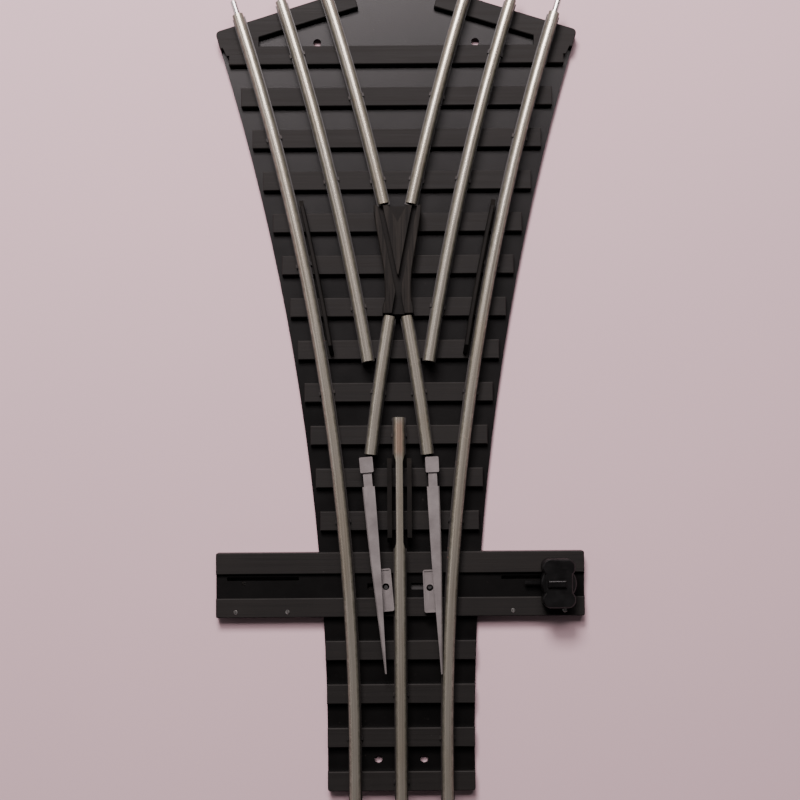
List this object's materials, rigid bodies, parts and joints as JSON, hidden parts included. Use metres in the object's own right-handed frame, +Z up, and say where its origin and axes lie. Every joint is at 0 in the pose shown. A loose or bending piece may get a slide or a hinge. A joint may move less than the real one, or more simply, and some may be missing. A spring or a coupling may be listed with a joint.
{
  "type": "model railway turnout",
  "caption": "Three-rail wye turnout on a moulded tie base, with tubular rails, a frog, swinging point blades and a finger knob that throws them.",
  "frame": {"origin": "centre of the plan extent, on the underside of the base", "axes": "+Y from the stem towards the legs, +X to the hand throw's side, +Z up"},
  "size_m": [0.1452, 0.3286, 0.0145],
  "materials": {
    "base_plastic": "moulded, satin",
    "frog_plastic": "moulded, satin, rubbed on top",
    "rail_steel": "tin-plated sheet steel, dulled",
    "point_casting": "die-cast, matt grey",
    "pin_steel": "bright drawn steel",
    "sheet_steel": "blackened sheet",
    "drive_plastic": "moulded nylon",
    "knob_plastic": "moulded, semi-gloss",
    "strap_brass": "stamped strip, dull"
  },
  "bodies": {
    "track": {"tie_base": "base_plastic", "left_stock_rail": "rail_steel", "right_stock_rail": "rail_steel", "stem_center_rail": "rail_steel", "left_leg_center_rail": "rail_steel", "right_leg_center_rail": "rail_steel", "left_leg_inner_rail": "rail_steel", "right_leg_inner_rail": "rail_steel", "right_closure_rail": "rail_steel", "left_closure_rail": "rail_steel", "rail_pins": "pin_steel", "rail_clips": "sheet_steel", "frog": "frog_plastic", "left_guard_rail": "frog_plastic", "right_guard_rail": "frog_plastic", "right_center_guard": "frog_plastic", "left_center_guard": "frog_plastic", "left_point_pivot": "pin_steel", "right_point_pivot": "pin_steel", "knob_bush": "drive_plastic", "friction_spring": "sheet_steel", "mechanism_cover": "sheet_steel", "cover_rivets": "pin_steel", "cover_screws": "pin_steel", "running_bus_strap": "strap_brass", "center_bus_strap": "strap_brass", "strap_rivets": "strap_brass"},
    "throw": {"throw_bar": "drive_plastic", "drawbar": "sheet_steel", "drawbar_rivet": "pin_steel", "point_pegs": "drive_plastic"},
    "left_blade": {"left_point": "point_casting"},
    "right_blade": {"right_point": "point_casting"},
    "knob": {"throw_knob": "knob_plastic", "knob_pointer": "knob_plastic", "knob_shaft": "pin_steel", "crank_disc": "sheet_steel", "crank_pin": "pin_steel"}
  },
  "joints": [
    {"name": "throw_slide", "type": "slide", "parent": "track", "child": "throw", "axis": [1, 0, 0], "range_m": [-0.00603, 0]},
    {"name": "left_point_hinge", "type": "hinge", "parent": "track", "child": "left_blade", "pos_m": [-0.01285, -0.03175, 0.0048], "axis": [0, 0, 1], "range_deg": [-7.21, 0]},
    {"name": "right_point_hinge", "type": "hinge", "parent": "track", "child": "right_blade", "pos_m": [0.01285, -0.03175, 0.0048], "axis": [0, 0, 1], "range_deg": [-7.21, 0]},
    {"name": "knob_turn", "type": "hinge", "parent": "track", "child": "knob", "pos_m": [0.0617, -0.07815, 0.0048], "axis": [0, 0, 1], "range_deg": [-90.1, 0]}
  ],
  "couplings": [
    {"joint": "left_point_hinge", "follows": "throw_slide", "rad_per_m": 20.842},
    {"joint": "right_point_hinge", "follows": "throw_slide", "rad_per_m": 20.842},
    {"joint": "knob_turn", "follows": "throw_slide", "rad_per_m": 260.52}
  ]
}
